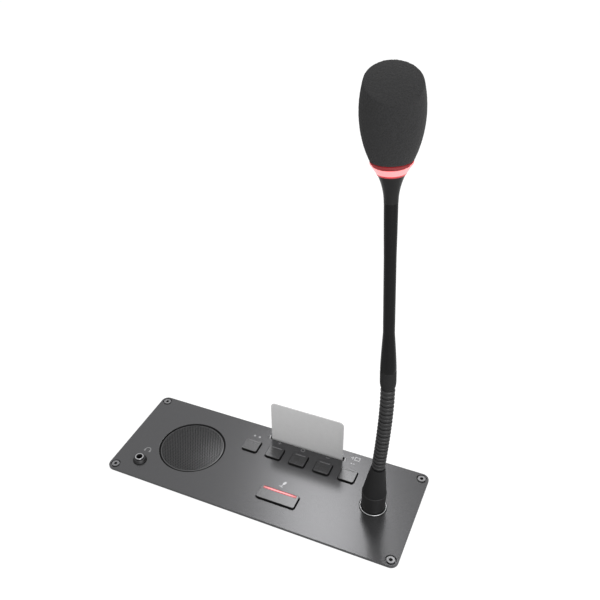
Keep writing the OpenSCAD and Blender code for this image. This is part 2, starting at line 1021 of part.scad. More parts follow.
module head_flare() {
    swell = flare_r - flare_low_r;
    arc = (swell * swell + flare_h * flare_h) / (2 * swell);
    color([0.14, 0.14, 0.14])
        at_stem()
            difference() {
                union() {
                    rotate_extrude()
                        difference() {
                            translate([0, head_rise])
                                square([flare_r, flare_h]);
                            translate([flare_low_r + arc, head_rise])
                                circle(arc, $fn = arc_fn);
                        }
                    rod(post_r, head_rise + flare_grip, post_top);
                }
                rod(tube_r + fix_gap, head_rise - cut, tube_top);
                rod(wire_r, head_rise, post_top + cut);
            }
}

module light_ring() {
    color([0.95, 0.3, 0.3])
        at_stem()
            difference() {
                translate([0, 0, light_z])
                    cylinder(r1 = flare_r, r2 = foam_low_r, h = light_h);
                rod(post_r + fix_gap, light_z - cut, light_z + light_h + cut);
            }
}

module mic_capsule() {
    color([0.6, 0.6, 0.6])
        at_stem()
            difference() {
                rod(capsule_r, post_top, post_top + capsule_h);
                rod(capsule_r - 1, post_top + capsule_h - 1, post_top + capsule_h + cut);
            }
}

// Foam bulb whose crown is a flat dome, slanted towards the talker
module windscreen() {
    low_drop = foam_max_r - foam_low_r;
    side = (low_drop * low_drop + foam_max_z * foam_max_z) / (2 * low_drop);
    color([0.2, 0.2, 0.2])
        at_stem()
            translate([0, 0, foam_z])
                difference() {
                    intersection() {
                        rotate_extrude()
                            intersection() {
                                translate([foam_max_r - side, foam_max_z])
                                    circle(side, $fn = arc_fn);
                                square([foam_max_r, foam_stock_h]);
                            }
                        rotate([0, 0, crown_turn])
                            translate([0, 0, crown_z])
                                rotate([crown_tilt, 0, 0])
                                    translate([0, 0, -crown_r])
                                        sphere(crown_r, $fn = 2 * $fn);
                    }
                    rod(foam_bore_r, -cut, foam_bore_top - foam_z);
                }
}

module rear_housing() {
    color([0.18, 0.18, 0.19])
        difference() {
            union() {
                difference() {
                    slab(housing_l, housing_d, housing_r, -housing_h, seat_z);
                    slab(housing_l - 2 * wall, housing_d - 2 * wall, housing_r - wall,
                        floor_z, seat_z + cut);
                }
                at_each(io_screw_xy)
                    rod(boss_r, -housing_h, io_z);
            }
            at_each(io_screw_xy)
                rod(io_screw_r + fix_gap, io_z - io_screw_l - cut, io_z + cut);
            at_each(pillar_xy)
                rod(housing_hole_r, -housing_h - cut, floor_z + cut);
            at_ports()
                slab(port[0] + 2 * port_room, port[1] + 2 * port_room, 0.3,
                    -housing_h - cut, floor_z + cut);
        }
}

module housing_pillars() {
    color([0.75, 0.7, 0.5])
        at_each(pillar_xy)
            difference() {
                rod(pillar_r, floor_z, seat_z);
                rod(stud_r + fix_gap, seat_z - post_stud - slide_gap, seat_z + cut);
                rod(stud_r + fix_gap, floor_z - cut, floor_z + housing_screw_l + slide_gap);
            }
}

module housing_screws() {
    color([0.7, 0.7, 0.7])
        at_each(pillar_xy) {
            rod(small_head_r + 0.4, -housing_h - small_head_h, -housing_h);
            rod(stud_r, -housing_h, floor_z + housing_screw_l);
        }
}

module at_ports() {
    for (s = [-1, 1])
        translate([io_x + s * io_pitch / 2, io_y, 0])
            children();
}

module network_board() {
    color([0.1, 0.35, 0.2])
        difference() {
            translate([io_x - io_l / 2, io_y - io_d / 2, io_z])
                cube([io_l, io_d, board_t]);
            at_each(io_screw_xy)
                rod(io_screw_r + slide_gap, io_z - cut, io_z + board_t + cut);
        }
}

module network_sockets() {
    low = -housing_h - port_proud;
    color([0.7, 0.7, 0.72])
        at_ports()
            difference() {
                slab(port[0], port[1], 0.3, low, io_z);
                translate([-plug_hole[0] / 2, -plug_hole[1] / 2, low - cut])
                    cube([plug_hole[0], plug_hole[1], plug_depth + cut]);
            }
}

module network_screws() {
    top = io_z + board_t;
    color([0.7, 0.7, 0.7])
        at_each(io_screw_xy) {
            rod(small_head_r, top, top + small_head_h);
            rod(io_screw_r, io_z - io_screw_l, top);
        }
}

top_plate();
plate_screws();
speaker_grille();
speaker_gasket();
speaker_basket();
speaker_cone();
speaker_magnet();
stud_nuts();
jack_nut();
jack_bushing();
jack_body();
card_reader();
reader_contacts();
id_card();
main_board();
board_spacers();
board_screws();
switch_bodies();
socket_ring();
socket_nut();
socket_insert();
socket_contacts();
rear_housing();
housing_pillars();
housing_screws();
network_board();
network_sockets();
network_screws();
vote_key(0);  // vote_key_1
vote_key(1);  // vote_key_2
vote_key(2);  // vote_key_3
vote_key(3);  // vote_key_4
vote_key(4);  // vote_key_5
mic_key();
mic_key_light();
plug_core();
plug_pins();
lock_collar();
neck_boot();
neck_link(0);  // neck_link_01
neck_link(1);  // neck_link_02
neck_link(2);  // neck_link_03
neck_link(3);  // neck_link_04
neck_link(4);  // neck_link_05
neck_link(5);  // neck_link_06
neck_link(6);  // neck_link_07
neck_link(7);  // neck_link_08
neck_link(8);  // neck_link_09
neck_link(9);  // neck_link_10
neck_link(10);  // neck_link_11
stem_ferrule();
stem_sleeve();
stem_tube();
head_flare();
light_ring();
mic_capsule();
windscreen();
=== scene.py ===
"""Looks of the conference delegate unit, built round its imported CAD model. Metres, in the CAD frame."""

import json
import math

import bpy
from bpy.props import FloatProperty, FloatVectorProperty, IntProperty, PointerProperty
from mathutils import Matrix, Vector


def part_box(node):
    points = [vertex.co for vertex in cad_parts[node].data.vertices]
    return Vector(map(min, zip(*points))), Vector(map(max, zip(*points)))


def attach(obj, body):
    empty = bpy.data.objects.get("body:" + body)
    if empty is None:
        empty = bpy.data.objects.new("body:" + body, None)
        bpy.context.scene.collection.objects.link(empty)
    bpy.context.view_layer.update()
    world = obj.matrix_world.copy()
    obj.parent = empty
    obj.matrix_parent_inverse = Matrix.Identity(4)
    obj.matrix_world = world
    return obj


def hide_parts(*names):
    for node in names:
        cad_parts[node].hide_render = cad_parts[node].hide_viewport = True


bl_info = {
    "name": "Conference Delegate Unit",
    "version": (1, 0, 0),
    "blender": (4, 5, 0),
    "location": "3D View > Sidebar > Delegate Unit",
    "description": "Models the looks of a table panel with a gooseneck microphone",
    "category": "Object",
}

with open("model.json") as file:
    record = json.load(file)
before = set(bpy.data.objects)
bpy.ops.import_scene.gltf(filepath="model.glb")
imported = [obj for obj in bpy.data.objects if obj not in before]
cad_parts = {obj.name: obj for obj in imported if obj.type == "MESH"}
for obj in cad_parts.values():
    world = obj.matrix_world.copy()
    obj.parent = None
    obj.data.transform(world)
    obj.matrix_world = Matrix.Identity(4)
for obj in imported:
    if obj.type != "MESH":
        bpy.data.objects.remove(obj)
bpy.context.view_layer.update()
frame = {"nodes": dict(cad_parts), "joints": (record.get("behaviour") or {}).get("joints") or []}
JOINTS = {joint["name"]: joint for joint in frame["joints"]}
MM = 0.001

# Places that the frame gives
PLATE_LOW, PLATE_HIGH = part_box("top_plate")
PLATE_TOP = PLATE_HIGH.z
HOUSING_LOW, HOUSING_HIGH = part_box("rear_housing")
VOTE_KEYS = [f"vote_key_{i}" for i in range(1, 6)]
NECK_POINTS = [Vector(JOINTS[f"neck_{way}_{i}"]["pos_m"]) for i in range(1, 7) for way in ("nod", "sway")]
STEM_AXIS = Vector(JOINTS["windscreen_pull"]["axis"]).normalized()
STEM_BASE = NECK_POINTS[-1]

# Sizes and a direction used below
# The lit ring's painted dim crescent centres on this direction.
SHADE_CRESCENT_SIDE = math.radians(-77)  # direction round the stem
NECK_GAP = 0.9 * MM  # between two links
WIRE = 1 * MM  # radius of the wire channel
PRINT_THICK = 0.03 * MM
SCREW_SEAT = PLATE_TOP - 1.2 * MM


def middle(node):
    """Centre of a CAD node's box."""
    low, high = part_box(node)
    return (low + high) / 2


def length(name, default_mm, text):
    """A length property whose default is given in millimetres."""
    return FloatProperty(name=name, description=text, default=default_mm * MM, unit="LENGTH", precision=5)


def angle(name, default_deg, text):
    """An angle property whose default is given in degrees."""
    return FloatProperty(name=name, description=text, default=math.radians(default_deg), subtype="ANGLE")


def colour(name, default, text):
    """A colour property."""
    return FloatVectorProperty(name=name, description=text, default=default, subtype="COLOR", size=3, min=0, max=1)


class DelegateSizes(bpy.types.PropertyGroup):
    """Sizes of the visible pieces."""

    plate_corner: length("Plate corner", 5, "Corner radius of the top plate")
    plate_thick: length("Plate thickness", 2, "Thickness of the top plate")
    edge: length("Edge rounding", 0.3, "Rounding of machined edges")
    screw_head: length("Screw head", 2.65, "Radius of the table screws' heads")
    screw_recess: length("Screw recess", 3.45, "Radius of the recess round a screw head")
    grille: length("Grille", 23.2, "Radius of the loudspeaker grille")
    grille_opening: length("Grille opening", 23.9, "Radius of the plate's opening for the grille")
    grille_dome: length("Grille dome", 1.9, "Rise of the grille's dome")
    grille_pitch: length("Grille pitch", 1.4, "Distance between the grille's holes")
    grille_hole: length("Grille hole", 1.05, "Width of a hole in the grille")
    key_width: length("Key width", 11, "Width of a vote key")
    key_depth: length("Key depth", 10.7, "Depth of every key")
    key_corner: length("Key corner", 1.3, "Corner radius of the keys")
    key_gap: length("Key gap", 0.5, "Gap round a key in its window")
    mic_key_width: length("Microphone key width", 27.2, "Width of the microphone key")
    mic_bar: length("Microphone light bar", 2, "Depth of the microphone key's light bar")
    slot_width: length("Slot width", 59, "Width of the card slot")
    slot_depth: length("Slot depth", 3.4, "Depth of the card slot, front to back")
    card_corner: length("Card corner", 3.2, "Corner radius of the card")
    foam_grain: length("Foam grain", 0.5, "Size of the windscreen's pores")
    collar_entry: length("Collar entry", 7.6, "Radius of the lock collar where it enters the socket")
    neck_rib: length("Neck rib", 4.22, "Outer radius of the neck's ribs")
    neck_groove: length("Neck groove", 3.57, "Radius of the grooves between the ribs")
    neck_ball: length("Neck ball", 3.42, "Radius of the ball at the end of a neck link")
    stem_tube: length("Stem tube", 3.24, "Radius of the stem's tube")
    ferrule: length("Ferrule", 4.65, "Radius of the ferrule at the neck's end")
    flare: length("Flare", 6.65, "Radius of the flare where it meets the lit ring")
    foam_rim: length("Foam rim", 10.3, "Radius of the windscreen's lower rim")
    foam_wide: length("Foam width", 15.2, "Largest radius of the windscreen")
    foam_wide_rise: length("Foam widest place", 22.4, "Height of the widest place over the lower rim")
    crown_rise: length("Crown height", 37.8, "Height of the crown's middle over the lower rim")
    crown_dome: length("Crown dome", 80, "Radius of the crown's flat dome")
    crown_tilt: angle("Crown slant", 25.5, "Slant of the crown towards the talker")
    crown_turn: angle("Crown turn", 25, "Turn of the slant towards the right")
    turn_sides: IntProperty(name="Turning steps", description="Sides of a turned piece", default=96, min=24, max=192)


class DelegateColours(bpy.types.PropertyGroup):
    """Colours of the finishes."""

    plate: colour("Plate", (0.091, 0.091, 0.094), "Fine grey coat of the top plate")
    grille: colour("Grille", (0.103, 0.103, 0.105), "Coat of the loudspeaker grille")
    key: colour("Key", (0.107, 0.107, 0.109), "Satin tops of the keys")
    black: colour("Black", (0.006, 0.006, 0.0062), "Black coat of the microphone")
    foam: colour("Foam", (0.019, 0.019, 0.0194), "Foam of the windscreen")
    card: colour("Card", (0.57, 0.57, 0.57), "Plastic of the identity card")
    light: colour("Light", (1.0, 0.05, 0.05), "Lit red plastic")
    symbol: colour("Symbol", (0.27, 0.27, 0.275), "Printed symbols")


def sizes():
    return bpy.context.scene.delegate_sizes


def colours():
    return bpy.context.scene.delegate_colours


# Modelling steps


def activate(obj):
    """Makes a piece the only selected and the active one."""
    bpy.ops.object.select_all(action="DESELECT")
    obj.select_set(True)
    bpy.context.view_layer.objects.active = obj


def named(name):
    """Names the primitive that was just added."""
    obj = bpy.context.object
    obj.name = obj.data.name = name
    return obj


def set_at_origin(obj):
    """Moves a piece's place into its mesh."""
    activate(obj)
    bpy.ops.object.transform_apply(location=True, rotation=True, scale=True)


def primitive(name, add, **settings):
    """Adds a mesh primitive with nothing else selected, names it and sets it at the origin."""
    bpy.ops.object.select_all(action="DESELECT")
    add(**settings)
    obj = named(name)
    set_at_origin(obj)
    return obj


def apply_modifier(obj, kind, **settings):
    """Adds a modifier and applies it."""
    activate(obj)
    modifier = obj.modifiers.new(kind, kind)
    for key, value in settings.items():
        setattr(modifier, key, value)
    bpy.ops.object.modifier_apply(modifier=modifier.name)


def soften(obj, width, segments=2, sharp=40):
    """Rounds the edges of a piece that are sharper than an angle in degrees."""
    apply_modifier(obj, "BEVEL", width=width, segments=segments, limit_method="ANGLE",
                   angle_limit=math.radians(sharp), use_clamp_overlap=False)


def edit_all(obj, kind="VERT", action="SELECT"):
    """Enters edit mode with the whole mesh selected, or nothing of it."""
    activate(obj)
    bpy.ops.object.mode_set(mode="EDIT")
    bpy.ops.mesh.select_mode(type=kind)
    bpy.ops.mesh.select_all(action=action)


def edit_some(obj, kind, test):
    """Enters edit mode with only the edges or faces selected that pass a test."""
    edit_all(obj, kind, "DESELECT")
    edit_done()
    for item in obj.data.polygons if kind == "FACE" else obj.data.edges:
        item.select = test(item)
    bpy.ops.object.mode_set(mode="EDIT")


def edit_done():
    """Goes back to object mode."""
    bpy.ops.object.mode_set(mode="OBJECT")


def tidy_mesh(obj):
    """Merges doubles and turns all faces outwards."""
    edit_all(obj)
    bpy.ops.mesh.remove_doubles(threshold=1e-7)
    bpy.ops.mesh.normals_make_consistent(inside=False)
    edit_done()


def turned(name, profile, sides=0, full=False):
    """A piece turned about Z: a circle drawn through the profile's points of radius and height.
    A full piece is closed at both ends, and a hollow one comes back to its first point."""
    start_r, start_z = profile[0]
    obj = primitive(name, bpy.ops.mesh.primitive_circle_add, vertices=sides or sizes().turn_sides, radius=start_r,
                    fill_type="NGON" if full else "NOTHING", location=(0, 0, start_z))
    edit_all(obj)
    for (r, z), (next_r, next_z) in zip(profile, profile[1:]):
        bpy.ops.mesh.extrude_region_move(TRANSFORM_OT_translate={"value": (0, 0, next_z - z)})
        if next_r != r:
            bpy.ops.transform.resize(value=(next_r / r, next_r / r, 1))
    edit_done()
    tidy_mesh(obj)
    return obj


def arc(centre_r, centre_z, radius, start, end, steps):
    """Points of radius and height on a circle, between two angles."""
    angles = [start + (end - start) * i / steps for i in range(steps + 1)]
    return [(centre_r + radius * math.cos(a), centre_z + radius * math.sin(a)) for a in angles]


def rounded_block(name, width, depth, corner, low, high, place, segments=8):
    """An upright block with round corners, at a place on the plate."""
    obj = primitive(name, bpy.ops.mesh.primitive_cube_add, size=1)
    obj.scale = (width, depth, high - low)
    obj.location = (place[0], place[1], (low + high) / 2)
    set_at_origin(obj)

    def upright(edge):
        start, end = (obj.data.vertices[i].co for i in edge.vertices)
        return abs(start.z - end.z) > (high - low) / 2

    edit_some(obj, "EDGE", upright)
    bpy.ops.mesh.bevel(offset=corner, offset_type="OFFSET", segments=segments, affect="EDGES")
    edit_done()
    tidy_mesh(obj)
    return obj


def round_bar(name, radius, low, high, place, sides=64):
    """An upright cylinder, at a place on the plate."""
    return primitive(name, bpy.ops.mesh.primitive_cylinder_add, vertices=sides, radius=radius, depth=high - low,
                     location=(place[0], place[1], (low + high) / 2))


def joined(name, pieces):
    """Joins pieces into one object."""
    activate(pieces[0])
    for piece in pieces:
        piece.select_set(True)
    bpy.ops.object.join()
    return named(name)


def cut(obj, tool, operation="DIFFERENCE"):
    """Cuts a tool out of a piece, or keeps what is inside it, and removes the tool."""
    apply_modifier(obj, "BOOLEAN", operation=operation, object=tool, solver="EXACT")
    bpy.data.objects.remove(tool)


def copied(obj, name):
    """A copy of a piece with its own mesh."""
    activate(obj)
    bpy.ops.object.duplicate()
    return named(name)


def stand(obj, base, axis):
    """Stands a piece that was turned about Z on a base point, along an axis."""
    turn = Vector((0, 0, 1)).rotation_difference(axis).to_matrix().to_4x4()
    obj.matrix_world = Matrix.Translation(base) @ turn
    set_at_origin(obj)


def paint(obj, band):
    """Gives each face the finish whose number the face's middle calls for."""
    for polygon in obj.data.polygons:
        polygon.material_index = band(polygon.center)


def done(obj, body, slot, node, *coats, smooth=35):
    """Gives a piece its finishes, named or ready made, and lets it ride on a body in place of a CAD node."""
    for coat in coats:
        obj.data.materials.append(look(coat) if isinstance(coat, str) else coat)
    set_at_origin(obj)
    bpy.ops.object.shade_smooth_by_angle(angle=math.radians(smooth))
    apply_modifier(obj, "WEIGHTED_NORMAL", keep_sharp=True)
    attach(obj, body)
    if node:
        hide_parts(node)


# Finishes

# Base colour, or a colour setting and a factor; roughness; size and depth of the grain in millimetres; where special,
# metallic, specular level, spread of the colour, spread of the roughness
FINISHES = {
    "plate_grey_coat": (("plate", 1), 0.24, 0.35, 0.003, 0.7, 0.5, 0.06, 0.03),
    "grille_grey_coat": (("grille", 1), 0.36, 0.4, 0.004, 1),
    "nut_dark_coat": ((0.048, 0.048, 0.049), 0.4, 0.4, 0.004, 1),
    "bright_steel": ((0.22, 0.22, 0.225), 0.28, 0.2, 0.004, 1, 0.5, 0.06),
    "polished_chrome": ((0.48, 0.48, 0.49), 0.18, 0.5, 0.001, 1, 0.5, 0.03, 0.03),
    "satin_black_coat": (("black", 1.7), 0.42, 0.3, 0.01, 0, 0.45, 0.15),
    "matt_rubber": (("black", 2), 0.6, 0.25, 0.012, 0, 0.15, 0.15),
    "smooth_black_plastic": (("black", 1), 0.25, 0.6, 0.003, 0, 0.12, 0.1),
    "satin_flare_black": (("black", 1.2), 0.34, 0.6, 0.004, 0, 0.22),
    "key_satin_grey": (("key", 1), 0.27, 0.25, 0.004, 1, 0.5, 0.07),
    # Black of the keys' sides and of the line round the socket ring; also painted shade in the screws' hexagon
    # sockets, in the jack's hole and in the gap round the grille.
    "key_black_side": ((0.008,) * 3, 0.55, 0.3, 0.006, 0, 0.15),
    "unlit_bar": ((0.17, 0.17, 0.175), 0.35, 0.3, 0.002),
    "card_plastic": (("card", 1), 0.38, 2.5, 0.002, 0, 0.3, 0.015, 0.03),
    "symbol_print": (("symbol", 1), 0.27, 0.2, 0.004, 0.85, 0.5, 0.06),
    "inner_foam": ((0.02,) * 3, 0.9, 0.4, 0.03),
    "basket_coat": ((0.08, 0.08, 0.085), 0.5, 0.5, 0.01, 0.5),
    "cone_paper": ((0.012,) * 3, 0.8, 0.6, 0.02),
    "magnet_coat": ((0.05, 0.05, 0.052), 0.6, 0.5, 0.02, 0.6),
    "inner_steel": ((0.5, 0.5, 0.51), 0.35, 0.3, 0.004, 1),
    "inner_plastic": ((0.015, 0.015, 0.016), 0.5, 0.4, 0.008),
    "turned_brass": ((0.6, 0.42, 0.16), 0.3, 0.3, 0.002, 1),
    "board_mask": ((0.01, 0.09, 0.03), 0.35, 1.5, 0.004),
    "housing_plastic": ((0.02, 0.02, 0.021), 0.55, 0.5, 0.03),
    "socket_shield": ((0.5, 0.5, 0.51), 0.3, 0.4, 0.004, 1),
    "core_black": ((0.012,) * 3, 0.4, 0.3, 0.006),
}


def feed(node, *in_order, **by_name):
    """Gives a node's inputs, in order or named in small letters, plain values, outputs or nodes' first outputs."""
    named_pairs = [(node.inputs[name.replace("_", " ").title()], value) for name, value in by_name.items()]
    for socket, value in [*zip(node.inputs, in_order), *named_pairs]:
        if isinstance(value, bpy.types.Node):
            value = value.outputs[0]
        if isinstance(value, bpy.types.NodeSocket):
            node.id_data.links.new(value, socket)
        else:
            socket.default_value = value


def new_node(tree, kind, *in_order, **by_name):
    """A new shader node with its inputs."""
    node = tree.nodes.new("ShaderNode" + kind)
    feed(node, *in_order, **by_name)
    return node


def object_place(tree):
    """Object coordinates."""
    return new_node(tree, "TexCoord").outputs["Object"]


def finish(name, base, roughness, metallic=0.0, specular=0.5):
    """A new finish with its nodes and shader, and the plain values set on the shader's own sockets."""
    material = bpy.data.materials.new(name)
    material.use_nodes = True
    shader = material.node_tree.nodes["Principled BSDF"]
    feed(shader, base_color=(*base, 1), roughness=roughness, metallic=metallic)
    shader.inputs["Specular IOR Level"].default_value = specular
    return material, material.node_tree, shader


def noise(tree, size):
    """Noise on Object coordinates whose lumps are about a given size."""
    return new_node(tree, "TexNoise", vector=object_place(tree), scale=1 / size, detail=2.0)


def ramp(tree, source, low, high, start=0.3, end=0.7):
    """Colours between two ends of a value."""
    node = new_node(tree, "ValToRGB", source)
    for element, position, tone in zip(node.color_ramp.elements, (start, end), (low, high)):
        element.position = position
        element.color = (*tone, 1)
    return node


def shaded(base, factor):
    """A colour made lighter or darker."""
    return tuple(min(1, channel * factor) for channel in base)


def grained(name, base, roughness, size, depth, metallic=0.0, specular=0.5, spread=0.08, rough_spread=0.05):
    """A finish with a fine grain in its colour, roughness and surface."""
    material, tree, shader = finish(name, base, roughness, metallic, specular)
    grain = noise(tree, size)
    rough = new_node(tree, "MapRange", value=grain, to_min=roughness - rough_spread, to_max=roughness + rough_spread)
    bump = new_node(tree, "Bump", strength=1.0, distance=depth, height=grain)
    tones = ramp(tree, grain, shaded(base, 1 - spread), shaded(base, 1 + spread))
    feed(shader, base_color=tones, roughness=rough, normal=bump)
    return material


def look(name):
    """A grained finish from the table, made at its first use."""
    base, roughness, size, depth, *rest = FINISHES[name]
    if isinstance(base[0], str):
        setting, factor = base
        base = shaded(getattr(colours(), setting), factor)
    return bpy.data.materials.get(name) or grained(name, base, roughness, size * MM, depth * MM, *rest)


def foam_finish():
    """Black foam with open pores and a faint sheen."""
    base = colours().foam
    material, tree, shader = finish("windscreen_foam", base, 0.95, specular=0.08)
    pores = new_node(tree, "TexVoronoi", vector=object_place(tree), scale=1 / sizes().foam_grain)
    bump = new_node(tree, "Bump", distance=0.12 * MM, height=pores)
    # Painted shade: the pits of the pores are coloured darker than the foam between them.
    tones = ramp(tree, pores, shaded(base, 0.55), shaded(base, 1.25), 0.05, 0.55)
    feed(shader, base_color=tones, normal=bump, sheen_weight=0.06, sheen_roughness=0.6)
    return material


def lit_finish(name, core, body=1.0):
    """Frosted red plastic lit from inside, with a fine mottle."""
    material, tree, shader = finish(name, shaded(colours().light, body), 0.4)
    mottle = ramp(tree, noise(tree, 0.5 * MM), shaded(core, 0.92), core)
    feed(shader, emission_color=mottle, emission_strength=1.0)
    return material


def key_bar_finish(centre, half_length, half_depth):
    """A frosted bar lit from inside: pale along its middle, red at its edges and dim at its ends."""
    material, tree, shader = finish("lit_key_bar", shaded(colours().light, 0.3), 0.4)
    place = new_node(tree, "Mapping", vector=object_place(tree), scale=(1 / half_length, 1 / half_depth, 1),
                     location=(-centre.x / half_length, -centre.y / half_depth, 0))
    split = new_node(tree, "SeparateXYZ", place)
    along, across = (new_node(tree, "Math", split.outputs[axis]) for axis in "XY")
    along.operation = across.operation = "ABSOLUTE"
    glow = ramp(tree, across, (1, 0.58, 0.6), (0.42, 0.03, 0.05), 0.25, 0.6)
    fade = new_node(tree, "MapRange", value=along, from_min=0.6, from_max=1.0, to_min=1.0, to_max=0.45)
    feed(shader, emission_color=glow, emission_strength=fade)
    return material


# Pieces


class DELEGATE_OT_plate(bpy.types.Operator):
    """Models the top plate with its windows, slot, openings and screw recesses"""

    bl_idname = "delegate.plate"
    bl_label = "Top Plate"

    def execute(self, context):
        s = sizes()
        low, top, over = PLATE_TOP - s.plate_thick, PLATE_TOP, 1 * MM
        through = low - over, top + over
        plate = rounded_block("plate", PLATE_HIGH.x - PLATE_LOW.x, PLATE_HIGH.y - PLATE_LOW.y, s.plate_corner,
                              low, top, (0, 0), 16)
        for key in VOTE_KEYS + ["mic_key"]:
            width = s.mic_key_width if key == "mic_key" else s.key_width
            cut(plate, rounded_block("cut_" + key, width + 2 * s.key_gap, s.key_depth + 2 * s.key_gap,
                                     s.key_corner + s.key_gap, *through, middle(key)))
        cut(plate, rounded_block("cut_slot", s.slot_width, s.slot_depth, 0.8 * MM, *through, middle("id_card")))
        for node, radius, sides in (("speaker_grille", s.grille_opening, 128), ("jack_bushing", 3.2 * MM, 64),
                                    ("socket_ring", 8.75 * MM, 96)):
            cut(plate, round_bar("cut_" + node, radius, *through, middle(node), sides))
        play = 0.3 * MM
        pocket = HOUSING_HIGH - HOUSING_LOW + 2 * play * Vector((1, 1, 1))
        cut(plate, rounded_block("cut_pocket", pocket.x, pocket.y, 4.3 * MM, low - over, HOUSING_HIGH.z, (0, 0)))
        for place in screw_places():
            cut(plate, round_bar("cut_recess", s.screw_recess, SCREW_SEAT, top + over, place))
            cut(plate, round_bar("cut_hole", 2.05 * MM, low - over, top - 1 * MM, place, 32))
        soften(plate, s.edge)
        done(plate, "panel", "plate_grey", "top_plate", "plate_grey_coat")
        return {"FINISHED"}


def screw_places():
    """The middles of the four table screws."""
    low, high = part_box("plate_screws")
    head = sizes().screw_head
    return [(x, y) for x in (low.x + head, high.x - head) for y in (low.y + head, high.y - head)]


class DELEGATE_OT_screws(bpy.types.Operator):
    """Models one table screw with its hexagon socket and thread, and copies it to the four corners"""

    bl_idname = "delegate.screws"
    bl_label = "Table Screws"

    def execute(self, context):
        s = sizes()
        low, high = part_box("plate_screws")
        pitch, core, crest = 0.5 * MM, 1.22 * MM, 1.5 * MM
        turns = int((-low.z - 1 * MM) / pitch)
        point, shank, socket_r, socket_deep = 0.5 * MM, 1.8 * MM, 1.2 * MM, 0.9 * MM
        profile = [(0.8 * MM, low.z), (core, low.z + point)]
        for i in range(turns):
            z = low.z + point + i * pitch
            profile += [(crest, z + pitch / 2), (core, z + pitch)]
        profile += [(shank, 0), (shank, SCREW_SEAT), (s.screw_head, SCREW_SEAT), (s.screw_head, high.z)]
        screw = turned("table_screw", profile, 48, full=True)
        cut(screw, round_bar("hexagon", socket_r, high.z - socket_deep, high.z + socket_deep, (0, 0), 6))
        soften(screw, 0.18 * MM, 2, 50)
        for name in ("bright_steel", "key_black_side"):
            screw.data.materials.append(look(name))
        # Painted shade: the faces inside the hexagon socket take the black finish.
        paint(screw, lambda place: int(place.xy.length < 1.15 * MM and SCREW_SEAT < place.z < high.z - 0.15 * MM))
        copies = [copied(screw, "table_screw") for _ in screw_places()]
        for copy, place in zip(copies, screw_places()):
            copy.location.xy = place
            set_at_origin(copy)
        bpy.data.objects.remove(screw)
        done(joined("table_screws", copies), "panel", "steel", "plate_screws")
        return {"FINISHED"}


class DELEGATE_OT_grille(bpy.types.Operator):
    """Models the domed grille: a honeycomb of holes on a sphere, and its rolled rim"""

    bl_idname = "delegate.grille"
    bl_label = "Loudspeaker Grille"

    def execute(self, context):
        s = sizes()
        side = s.grille_pitch / math.sqrt(3)
        sheet_r = s.grille - 0.05 * MM
        across = int(sheet_r / s.grille_pitch) + 2
        rows = int(sheet_r / (3 * side)) + 2
        sheet = primitive("grille_sheet", bpy.ops.mesh.primitive_circle_add, vertices=6, radius=side,
                          fill_type="NGON", location=(-across * s.grille_pitch, -rows * 3 * side, 0))
        merge = {"use_relative_offset": False, "use_constant_offset": True, "use_merge_vertices": True,
                 "merge_threshold": 0.01 * MM}
        for count, step in ((2, (s.grille_pitch / 2, 1.5 * side, 0)), (2 * across + 1, (s.grille_pitch, 0, 0)),
                            (2 * rows + 1, (0, 3 * side, 0))):
            apply_modifier(sheet, "ARRAY", count=count, constant_offset_displace=step, **merge)
        tidy_mesh(sheet)
        edit_some(sheet, "FACE", lambda face: face.center.xy.length > sheet_r - side)
        bpy.ops.mesh.delete(type="FACE")
        bpy.ops.mesh.select_all(action="SELECT")
        bpy.ops.mesh.inset(thickness=(s.grille_pitch - s.grille_hole) / 2, use_individual=True)
        bpy.ops.mesh.delete(type="FACE")
        edit_done()
        sphere = (s.grille**2 + s.grille_dome**2) / (2 * s.grille_dome)
        sheet.location.z = sphere
        set_at_origin(sheet)
        apply_modifier(sheet, "CAST", cast_type="SPHERE", factor=1.0, size=sphere, use_radius_as_size=False)
        metal = 0.5 * MM
        apply_modifier(sheet, "SOLIDIFY", thickness=metal, offset=-1)
        low, high = (corner.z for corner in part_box("speaker_grille"))
        rim_z = high - s.grille_dome
        sheet.location.z = high - sphere
        set_at_origin(sheet)
        inner, wall, flange, ledge = sheet_r - 1.2 * MM, s.grille - 0.8 * MM, 26.4 * MM, low + 0.8 * MM
        lift = (s.grille**2 - inner**2) / (2 * sphere)
        rim = turned("grille_rim", [
            (s.grille, ledge), (s.grille, rim_z - 0.2 * MM), (s.grille - 0.25 * MM, rim_z + 0.05 * MM),
            (s.grille - 0.6 * MM, rim_z + lift / 2), (inner, rim_z + lift), (inner, rim_z + lift - metal),
            (wall, rim_z - metal), (wall, low), (flange, low), (flange, ledge), (s.grille, ledge),
        ], 128)
        grille = joined("grille", [sheet, rim])
        # Painted shade: the rim's outer wall and flange take the black finish, a dark gap round the grille.
        paint(grille, lambda place: int(place.xy.length > s.grille - 0.5 * MM))
        grille.location.xy = middle("speaker_grille").xy
        done(grille, "panel", "grille_grey", "speaker_grille", "grille_grey_coat", "key_black_side")
        return {"FINISHED"}


